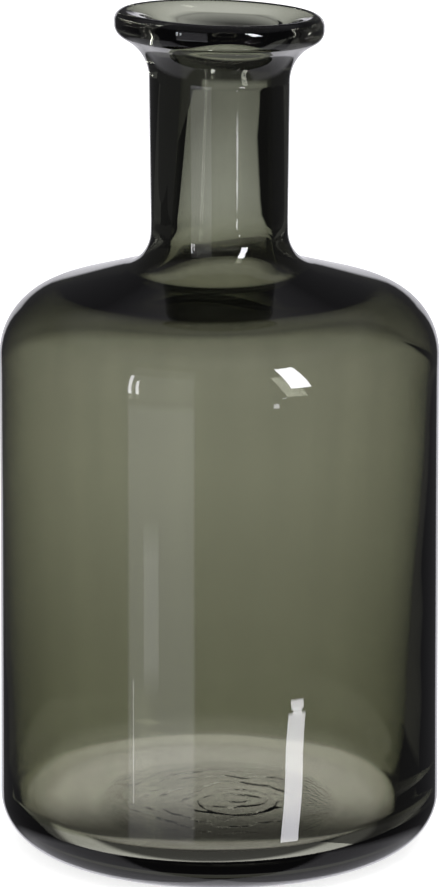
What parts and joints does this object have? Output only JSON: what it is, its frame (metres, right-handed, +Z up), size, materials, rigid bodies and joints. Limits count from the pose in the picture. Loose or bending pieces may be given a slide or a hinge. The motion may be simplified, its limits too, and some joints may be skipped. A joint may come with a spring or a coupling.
{
  "type": "bottle vase",
  "caption": "Blown glass bottle vase: near-cylindrical body on a heavy base, sloping shoulder, thick straight neck and a flared, rounded lip.",
  "frame": {"origin": "centre of the foot, on the vase's axis, in the plane that it stands on", "axes": "+Z up along the vase's axis, from the foot to the lip; -Y towards the camera of the picture"},
  "size_m": [0.1584, 0.1584, 0.3],
  "materials": {
    "smoky_glass": "clear, smoky grey-green, fire-polished"
  },
  "bodies": {
    "root": {"glass_bottle": "smoky_glass"}
  },
  "joints": []
}
